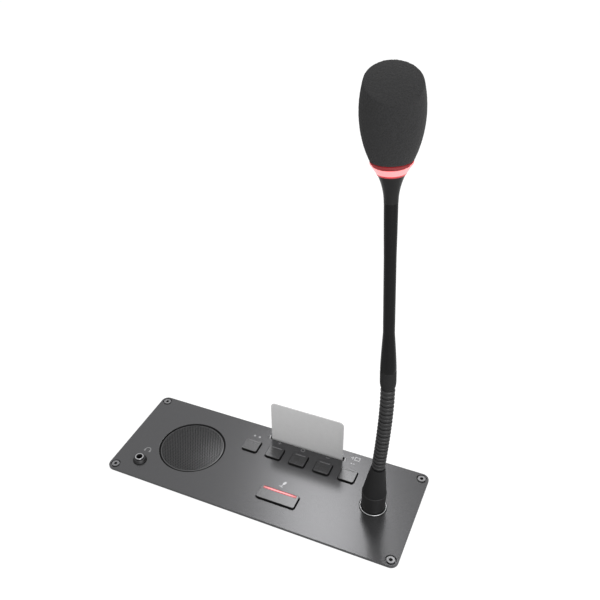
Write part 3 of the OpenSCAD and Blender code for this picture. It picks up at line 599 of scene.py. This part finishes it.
class DELEGATE_OT_jack(bpy.types.Operator):
    """Models the headphone jack's bright bushing and its tapered dress nut"""

    bl_idname = "delegate.jack"
    bl_label = "Headphone Jack"

    def execute(self, context):
        centre = middle("jack_bushing")
        low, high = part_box("jack_bushing")
        thread, hole, middle_r, nut_bore, nut_r = 3 * MM, 1.8 * MM, 0.05 * MM, 3.05 * MM, 4.9 * MM
        bushing = turned("jack_bushing_rim", [
            (middle_r, low.z), (thread, low.z), (thread, high.z - 0.1 * MM), (2.9 * MM, high.z), (2.35 * MM, high.z),
            (hole, high.z - 0.5 * MM), (hole, low.z + 1 * MM), (middle_r, low.z + 1 * MM),
        ], full=True)
        # Painted shade: the chamfer and the hole inside the bushing take the black finish.
        paint(bushing, lambda place: int(place.xy.length < 2.3 * MM))
        bushing.location.xy = centre.xy
        done(bushing, "panel", "bright_chrome", "jack_bushing", "polished_chrome", "key_black_side")
        low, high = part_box("jack_nut")
        nut = turned("jack_dress_nut", [
            (nut_bore, low.z), (nut_r, low.z), (nut_r, low.z + 0.5 * MM), (4.1 * MM, high.z - 0.3 * MM),
            (3.8 * MM, high.z), (nut_bore, high.z), (nut_bore, low.z),
        ])
        nut.location.xy = centre.xy
        soften(nut, 0.15 * MM)
        done(nut, "panel", "black_plastic", "jack_nut", "nut_dark_coat")
        return {"FINISHED"}


class DELEGATE_OT_card(bpy.types.Operator):
    """Models the identity card with round corners and soft edges, and the bright lips at the slot's ends"""

    bl_idname = "delegate.card"
    bl_label = "Identity Card"

    def execute(self, context):
        low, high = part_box("id_card")
        centre = (low + high) / 2
        card = rounded_block("identity_card", high.x - low.x, high.z - low.z, sizes().card_corner,
                             0, high.y - low.y, (0, 0), 12)
        soften(card, 0.12 * MM)
        card.matrix_world = Matrix.Translation((centre.x, high.y, centre.z)) @ Matrix.Rotation(math.pi / 2, 4, "X")
        done(card, "card", "card_grey", "id_card", "card_plastic")
        reach = sizes().slot_width / 2 - 0.7 * MM
        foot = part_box("card_reader")[1].z
        lips = [rounded_block("slot_lip", 1 * MM, sizes().slot_depth - 0.1 * MM, 0.2 * MM, foot, PLATE_TOP + 0.1 * MM,
                              (centre.x + dx, centre.y), 4) for dx in (-reach, reach)]
        for lip in lips:
            edit_all(lip)
            bpy.ops.mesh.bisect(plane_co=(0, centre.y + 1.4 * MM, PLATE_TOP), plane_no=(0, -0.55, 0.84),
                                use_fill=True, clear_outer=True)
            edit_done()
        done(joined("slot_lips", lips), "panel", "steel", None, "polished_chrome")
        return {"FINISHED"}


def key_cap(name, node, width):
    """A key cap with a rounded top edge, its flange and its stems."""
    s = sizes()
    low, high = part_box(node)
    place = middle(node)
    flange_high = PLATE_TOP - s.plate_thick + 0.5 * MM
    flange_low, stem_r, reach = flange_high - 1 * MM, 2 * MM, 8 * MM
    cap = rounded_block(name, width, s.key_depth, s.key_corner, flange_low, high.z, place)
    soften(cap, 0.2 * MM, 3)
    flange = rounded_block(name + "_flange", high.x - low.x, high.y - low.y, s.key_corner,
                           flange_low, flange_high - 0.01 * MM, place)
    legs = [round_bar(name + "_stem", stem_r, low.z, flange_low + 0.1 * MM, (place.x + dx, place.y), 48)
            for dx in ((-reach, reach) if node == "mic_key" else (0,))]
    for leg in legs:
        soften(leg, 0.2 * MM)
    return joined(name, [cap, flange, *legs])


def bar_groove(key, node, bar_length, bar_width, depth):
    """Cuts the groove for a light bar near a key's back edge and returns its place."""
    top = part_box(node)[1].z
    place = middle(node)
    at = (place.x, place.y + sizes().key_depth / 2 - 1.4 * MM)
    cut(key, rounded_block("cut_bar", bar_length + 0.1 * MM, bar_width + 0.1 * MM, 0.3 * MM,
                           top - depth, top + 1 * MM, at, 4))
    return at, top


def key_done(key, node, top):
    """Finishes a key: satin on its top and the rounding round it, black on all the rest."""
    paint(key, lambda place: int(place.z <= top - 0.22 * MM))
    done(key, node, "key_grey", node, "key_satin_grey", "key_black_side")


class DELEGATE_OT_vote_keys(bpy.types.Operator):
    """Models the five vote keys with their small unlit light bars"""

    bl_idname = "delegate.vote_keys"
    bl_label = "Vote Keys"

    def execute(self, context):
        bar_length, bar_width, deep = 7.6 * MM, 0.7 * MM, 0.3 * MM
        for node in VOTE_KEYS:
            key = key_cap(node + "_cap", node, sizes().key_width)
            at, top = bar_groove(key, node, bar_length, bar_width, deep)
            bar = rounded_block(node + "_bar", bar_length, bar_width, 0.25 * MM, top - deep, top - 0.02 * MM, at, 4)
            soften(bar, 0.06 * MM)
            key_done(key, node, top)
            done(bar, node, "light_red", None, "unlit_bar")
        return {"FINISHED"}


class DELEGATE_OT_mic_key(bpy.types.Operator):
    """Models the wide microphone key and its lit red bar"""

    bl_idname = "delegate.mic_key"
    bl_label = "Microphone Key"

    def execute(self, context):
        low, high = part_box("mic_key_light")
        width, depth = high.x - low.x, sizes().mic_bar
        key = key_cap("microphone_key_cap", "mic_key", sizes().mic_key_width)
        at, top = bar_groove(key, "mic_key", width, depth, high.z - low.z)
        bar = rounded_block("microphone_key_bar", width, depth, 0.3 * MM, low.z, high.z, at, 4)
        soften(bar, 0.15 * MM)
        key_done(key, "mic_key", top)
        done(bar, "mic_key", "light_red", "mic_key_light", key_bar_finish((low + high) / 2, width / 2, depth / 2))
        return {"FINISHED"}


def print_bar(x, y, width, depth, corner=0.15):
    """A printed bar on the plate, sizes in millimetres."""
    return rounded_block("print_bar", width * MM, depth * MM, corner * MM, PLATE_TOP, PLATE_TOP + PRINT_THICK,
                         (x * MM, y * MM), 4)


def turned_print(obj, degrees):
    """Turns a printed piece on the plate about its middle."""
    corners = [vertex.co for vertex in obj.data.vertices]
    centre = sum(corners, Vector()) / len(corners)
    turn = Matrix.Translation(centre) @ Matrix.Rotation(math.radians(degrees), 4, "Z")
    obj.matrix_world = turn @ Matrix.Translation(-centre)
    set_at_origin(obj)
    return obj


def print_ring(x, y, radius, line, half=False):
    """A printed ring or upper half ring on the plate, sizes in millimetres."""
    inner, outer = radius - line / 2, radius + line / 2
    ring = primitive("print_ring", bpy.ops.mesh.primitive_circle_add, vertices=40, radius=inner * MM)
    edit_all(ring)
    bpy.ops.mesh.extrude_region_move()
    bpy.ops.transform.resize(value=(outer / inner, outer / inner, 1))
    if half:
        bpy.ops.mesh.select_all(action="SELECT")
        bpy.ops.mesh.bisect(plane_co=(0, 0, 0), plane_no=(0, 1, 0), clear_inner=True)
    bpy.ops.mesh.select_all(action="SELECT")
    bpy.ops.mesh.extrude_region_move(TRANSFORM_OT_translate={"value": (0, 0, PRINT_THICK)})
    edit_done()
    ring.location = (x * MM, y * MM, PLATE_TOP)
    set_at_origin(ring)
    tidy_mesh(ring)
    return ring


class DELEGATE_OT_symbols(bpy.types.Operator):
    """Prints the plain symbols beside the keys and the jack"""

    bl_idname = "delegate.symbols"
    bl_label = "Symbols"

    def execute(self, context):
        keys = [middle(node) / MM for node in VOTE_KEYS]
        mic, jack = middle("mic_key") / MM, middle("jack_bushing") / MM
        row, plus_x, mic_x = keys[0].y + 10.2, keys[1].x - 0.8, mic.x - 1.2
        card_x, card_y = keys[4].x - 0.4, keys[4].y + 17.2
        ear_y, ear_r = jack.y + 10.6, 2.0
        pieces = [print_bar(*bar) for bar in (
            *[(keys[0].x - 0.5 + dx, row, 1.7, 1.7, 0.8) for dx in (-1.95, 1.95)],
            (plus_x, row, 2.6, 0.6), *[(plus_x, row + dy, 0.6, 1) for dy in (-0.8, 0.8)],
            (keys[3].x - 0.3, row, 2.6, 0.6),
            *[(card_x + dx, card_y, 0.5, 3.4) for dx in (-0.1, 3.1)],
            *[(card_x + 1.5, card_y + dy, 2.7, 0.5) for dy in (-1.45, 1.45)],
            (card_x - 2.1, card_y, 2.2, 0.5),
            *[(keys[4].x + dx, row + 1.9, 1.2, 0.6) for dx in (-1.6, 0.2)],
            *[(jack.x + dx, ear_y - 0.9, 1.2, 1.9, 0.4) for dx in (-ear_r, ear_r)],
        )]
        pieces += [turned_print(print_bar(card_x - 1.5, card_y + dy, 1.7, 0.5), turn)
                   for dy, turn in ((0.5, -45), (-0.5, 45))]
        slanted = [print_bar(mic_x, mic.y + 13.2, 1.7, 3.2, 0.8), print_bar(mic_x, mic.y + 10.5, 0.5, 1.8),
                   print_bar(mic_x, mic.y + 9.4, 3, 0.5)]
        pieces.append(turned_print(joined("print_mic", slanted), -20))
        pieces += [print_ring(keys[2].x - 0.9, row, 1.3, 0.55), print_ring(jack.x, ear_y, ear_r, 0.6, half=True)]
        done(joined("symbols", pieces), "panel", "card_grey", None, "symbol_print")
        return {"FINISHED"}


class DELEGATE_OT_socket(bpy.types.Operator):
    """Models the microphone socket's chrome ring"""

    bl_idname = "delegate.socket"
    bl_label = "Socket Ring"

    def execute(self, context):
        low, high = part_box("socket_ring")
        outer = (high.x - low.x) / 2
        wall, bore, tails, seat, floor = 8.7 * MM, 8.1 * MM, 3.2 * MM, 8.8 * MM, low.z + 1.5 * MM
        bead = (seat - bore) / 2
        ring = turned("chrome_ring", [
            (tails, low.z), (wall, low.z), (wall, PLATE_TOP), (outer, PLATE_TOP), (outer, PLATE_TOP + 0.2 * MM),
            (seat, PLATE_TOP + 0.35 * MM), *arc(seat - bead, high.z - bead, bead, 0, math.pi, 10),
            (bore, floor), (tails, floor), (tails, low.z),
        ])
        paint(ring, lambda place: int(place.xy.length > seat + 0.01 * MM))
        ring.location.xy = middle("socket_ring").xy
        done(ring, "panel", "bright_chrome", "socket_ring", "polished_chrome", "key_black_side")
        return {"FINISHED"}


class DELEGATE_OT_neck(bpy.types.Operator):
    """Models the lock collar, the rubber boot and the ribbed neck links"""

    bl_idname = "delegate.neck"
    bl_label = "Gooseneck"

    def execute(self, context):
        s = sizes()
        socket = middle("socket_ring")
        low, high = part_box("lock_collar")
        top_r, bore, edge = (high.x - low.x) / 2, 5.6 * MM, 0.25 * MM
        collar = turned("lock_collar_barrel", [
            (bore, low.z), (s.collar_entry - 0.3 * MM, low.z), (s.collar_entry, low.z + 0.3 * MM),
            (s.collar_entry, PLATE_TOP + 0.9 * MM), (top_r - 0.01 * MM, high.z - 0.9 * MM),
            *arc(top_r - edge, high.z - edge, edge, 0, math.pi / 2, 6), (bore, high.z), (bore, low.z),
        ])
        collar.location.xy = socket.xy
        done(collar, "collar", "neck_black", "lock_collar", "satin_black_coat")
        collar_top = Vector((socket.x, socket.y, high.z))
        lean = NECK_POINTS[0] - collar_top
        foot, top, bore, mouth = top_r - edge, s.neck_rib + 0.45 * MM, 3.45 * MM, 2.6 * MM
        start, rise, steps = -1 * MM, lean.length - 0.45 * MM, (0.2, 0.4, 0.6, 0.8, 1.0)
        boot = turned("boot_cone", [
            (bore, start), (foot, start), (foot, 0.3 * MM),
            *[(foot + (top - foot) * step, 0.3 * MM + (rise - 0.8 * MM) * step) for step in steps],
            (top - 0.35 * MM, rise), (mouth, rise), (mouth, rise - 5.5 * MM), (bore, rise - 5.6 * MM), (bore, start),
        ])
        stand(boot, collar_top, lean)
        cut(boot, rounded_block("cut_foot", 30 * MM, 30 * MM, 1 * MM, high.z - 4 * MM, high.z + 0.2 * MM, socket))
        done(boot, "mic_base", "boot_rubber", "neck_boot", "matt_rubber")
        link = turned("neck_link", link_profile(), 64)
        for i, (start, end) in enumerate(zip(NECK_POINTS, NECK_POINTS[1:]), 1):
            copy = copied(link, f"neck_rib_{i:02d}")
            stand(copy, start, end - start)
            done(copy, f"link_{i:02d}", "neck_black", f"neck_link_{i:02d}", "satin_black_coat")
        bpy.data.objects.remove(link)
        return {"FINISHED"}


def ball_seat(steps):
    """Outline of the cup round a neck ball at the height 0, from its rim to the wire channel."""
    cup = sizes().neck_ball + 0.12 * MM
    return arc(0, 0, cup, math.asin(NECK_GAP / 2 / cup), math.acos(WIRE / cup), steps)


def link_profile():
    """Outline of one neck link: cup, wire channel, ball and two round ribs."""
    s = sizes()
    step = (NECK_POINTS[1] - NECK_POINTS[0]).length
    low, high, groove = NECK_GAP / 2, step - NECK_GAP / 2, 0.8 * MM
    rib = (high - low - groove) / 4
    bulge = s.neck_rib - s.neck_groove

    def rib_points(middle_z):
        return [(s.neck_groove + bulge * math.sin(a), middle_z + rib * math.cos(a))
                for a in (math.pi * i / 10 for i in range(11))]

    start, end = math.acos(WIRE / s.neck_ball), math.asin((high - step) / s.neck_ball)
    points = ball_seat(8) + arc(0, step, s.neck_ball, start, end, 12)
    points += rib_points(high - rib) + rib_points(low + rib)
    return points + [points[0]]


class DELEGATE_OT_stem(bpy.types.Operator):
    """Models the ferrule, the tapered sleeve, the tube and the flare under the head"""

    bl_idname = "delegate.stem"
    bl_label = "Stem"

    def execute(self, context):
        s = sizes()
        tube_r, fit_r, ferrule_r = s.stem_tube, s.stem_tube + 0.05 * MM, s.ferrule
        bottom, ferrule_top, sleeve_top, head = NECK_GAP / 2, 11.95 * MM, 36.35 * MM, 111 * MM
        shelf, tube_low, tube_bore = 4.2 * MM, 4.15 * MM, 2.36 * MM
        seat = ball_seat(12)[::-1]
        ferrule = turned("stem_ferrule_band", [
            seat[-1], (ferrule_r - 0.75 * MM, bottom), (ferrule_r - 0.3 * MM, bottom + 1.2 * MM),
            (ferrule_r - 0.05 * MM, bottom + 3 * MM), (ferrule_r, bottom + 4 * MM),
            (ferrule_r, ferrule_top - 0.2 * MM), (ferrule_r - 0.15 * MM, ferrule_top), (fit_r, ferrule_top),
            (fit_r, shelf), (WIRE, shelf), *seat,
        ])
        drop = ferrule_r - tube_r - 0.02 * MM
        taper = [(ferrule_r - drop * step**1.3, ferrule_top + (sleeve_top - ferrule_top) * step)
                 for step in (i / 16 for i in range(17))]
        sleeve = turned("stem_sleeve_taper", [
            (fit_r, ferrule_top), (ferrule_r - 0.15 * MM, ferrule_top), *taper[1:],
            (fit_r, sleeve_top), (fit_r, ferrule_top),
        ])
        tube_end, tube_top = tube_r + 0.27 * MM, head + 7 * MM
        tube = turned("stem_tube_rod", [
            (tube_bore, tube_low), (tube_r, tube_low), (tube_r, head - 29 * MM),
            (tube_r + 0.16 * MM, head - 16 * MM), (tube_r + 0.24 * MM, head - 7 * MM), (tube_end, head),
            (tube_end, tube_top), (tube_bore, tube_top), (tube_bore, tube_low),
        ])
        flare_bore, flare_low, post = tube_end + 0.02 * MM, tube_end + 0.06 * MM, 5 * MM
        rise, swell = 14.2 * MM, s.flare - flare_low
        rim, post_top, seat_top = head + rise, head + rise + 10.1 * MM, tube_top + 0.1 * MM
        bend = (swell**2 + rise**2) / (2 * swell)
        reach = math.asin(rise / bend)
        flare = turned("head_flare_cone", [
            (flare_bore, head), *arc(flare_low + bend, head, bend, math.pi, math.pi - reach, 16), (post, rim),
            (post, post_top), (WIRE, post_top), (WIRE, seat_top), (flare_bore, seat_top), (flare_bore, head),
        ])
        for piece, slot, coat, node in (
            (ferrule, "neck_black", "matt_rubber", "stem_ferrule"),
            (sleeve, "sleeve_black", "smooth_black_plastic", "stem_sleeve"),
            (tube, "neck_black", "smooth_black_plastic", "stem_tube"),
            (flare, "sleeve_black", "satin_flare_black", "head_flare"),
        ):
            stand(piece, STEM_BASE, STEM_AXIS)
            done(piece, "stem", slot, node, coat)
        return {"FINISHED"}


class DELEGATE_OT_head(bpy.types.Operator):
    """Models the lit ring and the foam windscreen"""

    bl_idname = "delegate.head"
    bl_label = "Microphone Head"

    def execute(self, context):
        s = sizes()
        low, pale, dark, lip, high = 125.2 * MM, 126.3 * MM, 129.8 * MM, 130.6 * MM, 131.8 * MM
        bore, wide = 5.05 * MM, 10.3 * MM
        ring = turned("lit_ring", [
            (bore, low), (s.flare - 0.1 * MM, low), (s.flare + 0.3 * MM, low + 0.15 * MM), (7.4 * MM, pale),
            (8.75 * MM, pale + 2.1 * MM), *[(wide - 0.15 * i * MM, lip - 0.2 * i * MM) for i in (4, 3, 2, 1, 0)],
            (wide - 0.1 * MM, lip + 0.1 * MM), (wide - 0.05 * MM, lip + 0.5 * MM), (wide, lip + 0.9 * MM),
            (wide + 0.05 * MM, high), (bore, high), (bore, low),
        ])

        def band(place):
            """Pale in the middle, red below, and above a painted shade: a dim crescent on the talker's side and
            behind, while at the sides the pale band runs up to the top as painted light.
            """
            side = math.sin(math.atan2(place.y, place.x) - SHADE_CRESCENT_SIDE)
            if place.z < pale:
                return 1
            return 0 if place.z < dark + (high - dark) * side**4 else 2

        paint(ring, band)
        stand(ring, STEM_BASE, STEM_AXIS)
        # The third finish is painted shade: a dimmer glow for the crescent.
        done(ring, "stem", "light_red", "light_ring", lit_finish("lit_ring_core", (1, 0.42, 0.43)),
             lit_finish("lit_ring_edge", (0.4, 0.04, 0.05), 0.15),
             lit_finish("lit_ring_shade", (0.21, 0.007, 0.011), 0.04))

        base = 132 * MM
        foam = turned("windscreen_foam", foam_profile(), 160, full=True)
        slant = Matrix.Rotation(s.crown_turn, 4, "Z") @ Matrix.Translation((0, 0, s.crown_rise))
        slant = slant @ Matrix.Rotation(s.crown_tilt, 4, "X") @ Matrix.Translation((0, 0, -s.crown_dome))
        dome = primitive("crown_dome", bpy.ops.mesh.primitive_uv_sphere_add, segments=128, ring_count=180,
                         radius=s.crown_dome)
        dome.matrix_world = slant
        set_at_origin(dome)
        cut(foam, dome, "INTERSECT")
        apply_modifier(foam, "REMESH", mode="VOXEL", voxel_size=0.42 * MM)
        apply_modifier(foam, "SMOOTH", factor=0.5, iterations=6)
        grain = bpy.data.textures.new("foam_lumps", "CLOUDS")
        grain.noise_scale = 0.9 * MM
        apply_modifier(foam, "DISPLACE", texture=grain, strength=0.25 * MM, mid_level=0.5, texture_coords="LOCAL")
        stand(foam, STEM_BASE + base * STEM_AXIS, STEM_AXIS)
        done(foam, "foam", "foam_black", "windscreen", foam_finish(), smooth=80)
        return {"FINISHED"}


def foam_profile():
    """Outline of the windscreen's stock over its lower rim: the bore, the rim and the bulging side."""
    s = sizes()
    bore_r, bore_top, height, middle_r = 5.8 * MM, 13.8 * MM, 45 * MM, 0.1 * MM
    drop = s.foam_wide - s.foam_rim
    side = (drop**2 + s.foam_wide_rise**2) / (2 * drop)
    start, end = -math.asin(s.foam_wide_rise / side), math.asin((height - s.foam_wide_rise) / side)
    flank = arc(s.foam_wide - side, s.foam_wide_rise, side, start, end, 64)
    return [(middle_r, bore_top), (bore_r, bore_top), (bore_r, 0), *flank, (middle_r, height)]


CARRIED = {
    "inner_foam": ["speaker_gasket"],
    "basket_coat": ["speaker_basket"],
    "cone_paper": ["speaker_cone"],
    "magnet_coat": ["speaker_magnet"],
    "inner_steel": ["stud_nuts", "board_screws", "socket_nut", "housing_screws", "network_screws", "mic_capsule"],
    "inner_plastic": ["jack_body", "card_reader", "switch_bodies", "socket_insert"],
    "turned_brass": ["reader_contacts", "board_spacers", "socket_contacts", "housing_pillars", "plug_pins"],
    "board_mask": ["main_board", "network_board"],
    "housing_plastic": ["rear_housing"],
    "socket_shield": ["network_sockets"],
    "core_black": ["plug_core"],
}


class DELEGATE_OT_inside(bpy.types.Operator):
    """Gives the carried-over CAD pieces their finishes"""

    bl_idname = "delegate.inside"
    bl_label = "Housing and Inside"

    def execute(self, context):
        for name, nodes in CARRIED.items():
            for node in nodes:
                mesh = frame["nodes"][node].data
                mesh.materials.clear()
                mesh.materials.append(look(name))
        return {"FINISHED"}


def lamp(kind, name, place, target, watts, **settings):
    """A lamp aimed at a point."""
    bpy.ops.object.light_add(type=kind, location=place)
    light = bpy.context.object
    light.name = name
    light.data.energy = watts
    for key, value in settings.items():
        setattr(light.data, key, value)
    light.rotation_euler = (Vector(target) - Vector(place)).to_track_quat("-Z", "Y").to_euler()


class DELEGATE_OT_stage(bpy.types.Operator):
    """Sets up the table top, the lamps, the white surround and the camera"""

    bl_idname = "delegate.stage"
    bl_label = "Stage"

    def execute(self, context):
        scene = context.scene
        scene.view_settings.view_transform = "Standard"
        table = primitive("table_top", bpy.ops.mesh.primitive_plane_add, size=6, location=(0, 0, -0.1 * MM))
        edit_all(table)
        bpy.ops.mesh.inset(thickness=1)
        opening = (HOUSING_HIGH - HOUSING_LOW + Vector((1, 1, 0)) * MM) / 4
        bpy.ops.transform.resize(value=(opening.x, opening.y, 1))
        bpy.ops.mesh.delete(type="FACE")
        edit_done()
        table.data.materials.append(table_finish())
        scene.world = white_surround()
        lamp("AREA", "window_light", (-0.165, 0.558, 0.797), (0.05, -0.015, 0), 1.12, shape="RECTANGLE",
             size=0.18, size_y=0.3)
        lamp("AREA", "front_fill", (0.75, -0.7, 0.7), (0, 0, 0.1), 9.5, shape="RECTANGLE", size=1.1, size_y=1.1)
        lamp("SPOT", "head_light", (0.62, -0.55, 0.62), STEM_BASE + 0.15 * STEM_AXIS, 26,
             spot_size=math.radians(14), spot_blend=0.6, shadow_soft_size=0.12)
        bpy.ops.object.camera_add()
        camera = context.object
        right, down = Vector((0.9048, 0.4244, -0.0361)), Vector((0.2325, -0.5631, -0.793))
        ahead = right.cross(down)
        turn = Matrix((right, -down, -ahead)).transposed().to_4x4()
        camera.matrix_world = Matrix.Translation((0.153, -0.29955, 0.36916)) @ turn
        camera.data.sensor_width, camera.data.lens = 36, 42.56
        camera.data.shift_x, camera.data.shift_y = 0.0625, 0.075
        camera.data.clip_start = 0.01
        scene.camera = camera
        return {"FINISHED"}


def table_finish():
    """A white table top: to the camera it is close to full white, and keeps the shadow."""
    material, tree, shader = finish("table_white", (0.8,) * 3, 0.7)
    feed(shader, base_color=ramp(tree, noise(tree, 4 * MM), (0.79,) * 3, (0.81,) * 3))
    shade = new_node(tree, "BsdfDiffuse", color=(0.3, 0.3, 0.3, 1))
    glow = new_node(tree, "Emission", strength=0.82)
    seen = new_node(tree, "AddShader", shade, glow)
    to_camera = new_node(tree, "LightPath").outputs["Is Camera Ray"]
    feed(tree.nodes["Material Output"], surface=new_node(tree, "MixShader", to_camera, shader, seen))
    return material


def white_surround():
    """A world that looks white, in mirrors too, and lights the object at a plain level."""
    world = bpy.data.worlds.new("white_surround")
    world.use_nodes = True
    tree = world.node_tree
    path = new_node(tree, "LightPath")
    seen = path.outputs["Is Camera Ray"]
    for ray in ("Is Glossy Ray", "Is Transmission Ray"):
        seen = new_node(tree, "Math", seen, path.outputs[ray])
        seen.operation = "MAXIMUM"
    level = new_node(tree, "MapRange", value=seen, to_min=0.65, to_max=1.0)
    feed(tree.nodes["Background"], color=(1, 1, 1, 1), strength=level)
    return world


class DELEGATE_PT_panel(bpy.types.Panel):
    """Sidebar panel that lists the pieces and their settings"""

    bl_idname = "DELEGATE_PT_panel"
    bl_label = "Delegate Unit"
    bl_space_type = "VIEW_3D"
    bl_region_type = "UI"
    bl_category = "Delegate Unit"

    def draw(self, context):
        for step in STEPS:
            self.layout.operator(step.bl_idname)
        for group in (sizes(), colours()):
            for name in group.__annotations__:
                self.layout.prop(group, name)


STEPS = (
    DELEGATE_OT_stage, DELEGATE_OT_plate, DELEGATE_OT_screws, DELEGATE_OT_grille, DELEGATE_OT_jack, DELEGATE_OT_card,
    DELEGATE_OT_vote_keys, DELEGATE_OT_mic_key, DELEGATE_OT_symbols, DELEGATE_OT_socket, DELEGATE_OT_neck,
    DELEGATE_OT_stem, DELEGATE_OT_head, DELEGATE_OT_inside,
)
CLASSES = (DelegateSizes, DelegateColours, *STEPS, DELEGATE_PT_panel)


def register():
    for cls in CLASSES:
        bpy.utils.register_class(cls)
    bpy.types.Scene.delegate_sizes = PointerProperty(type=DelegateSizes)
    bpy.types.Scene.delegate_colours = PointerProperty(type=DelegateColours)


def unregister():
    del bpy.types.Scene.delegate_colours
    del bpy.types.Scene.delegate_sizes
    for cls in reversed(CLASSES):
        bpy.utils.unregister_class(cls)


def main():
    register()
    for step in STEPS:
        group, name = step.bl_idname.split(".")
        getattr(getattr(bpy.ops, group), name)()


if __name__ == "__main__":
    main()
